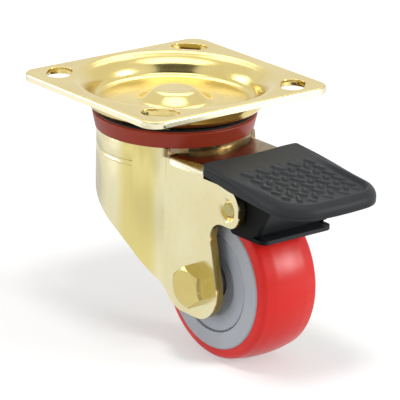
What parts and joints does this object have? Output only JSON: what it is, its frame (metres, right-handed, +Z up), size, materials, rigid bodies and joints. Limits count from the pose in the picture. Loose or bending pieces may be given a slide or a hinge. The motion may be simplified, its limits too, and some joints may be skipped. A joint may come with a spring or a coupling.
{
  "type": "braked swivel plate castor",
  "caption": "Swivel castor with a slotted top plate, pressed steel fork, polyurethane wheel on ball bearings and a foot pedal brake.",
  "frame": {"origin": "centre of the top plate's upper face, on the swivel axis and at the centre of the bolt slots", "axes": "+Z up, out of the plate towards what it is bolted to; +X along the trail, towards the pedal; +Y along the axle, from the bolt head to the nut"},
  "size_m": [0.1666, 0.103, 0.1165],
  "materials": {
    "yellow_zinc": "bright yellow passivated zinc plating",
    "ball_steel": "polished bearing steel",
    "plain_steel": "bright zinc plating",
    "seal_plastic": "satin red-brown moulding",
    "tyre_polyurethane": "satin red cast polyurethane",
    "hub_plastic": "satin grey moulding",
    "cover_plastic": "satin dark grey moulding",
    "black_steel": "semi-matt black coating",
    "pedal_plastic": "finely grained black moulding"
  },
  "bodies": {
    "plate": {"top_plate": "yellow_zinc", "king_pin": "yellow_zinc", "lower_race": "yellow_zinc"},
    "fork": {"fork": "yellow_zinc", "dust_seal": "seal_plastic", "upper_balls": "ball_steel", "lower_balls": "ball_steel", "axle_bolt": "yellow_zinc", "axle_nut": "yellow_zinc", "centre_spacer": "plain_steel", "near_axle_bush": "plain_steel", "far_axle_bush": "plain_steel", "near_bearing_inner_ring": "ball_steel", "far_bearing_inner_ring": "ball_steel", "brake_pin": "yellow_zinc", "brake_washers": "plain_steel"},
    "wheel": {"wheel_hub": "hub_plastic", "tyre": "tyre_polyurethane", "near_hub_cover": "cover_plastic", "far_hub_cover": "cover_plastic", "near_bearing_outer_ring": "ball_steel", "far_bearing_outer_ring": "ball_steel", "near_bearing_balls": "ball_steel", "far_bearing_balls": "ball_steel"},
    "brake": {"brake_lever": "black_steel", "brake_blade": "black_steel", "brake_pedal": "pedal_plastic", "pedal_screws": "plain_steel"}
  },
  "joints": [
    {"name": "swivel", "type": "hinge", "parent": "plate", "child": "fork", "pos_m": [0, 0, 0], "axis": [0, 0, 1], "continuous": true},
    {"name": "wheel_spin", "type": "hinge", "parent": "fork", "child": "wheel", "pos_m": [0.049, 0, -0.079], "axis": [0, 1, 0], "continuous": true},
    {"name": "brake_press", "type": "hinge", "parent": "fork", "child": "brake", "pos_m": [0.069, 0, -0.0385], "axis": [0, 1, 0], "range_deg": [0, 15]}
  ]
}
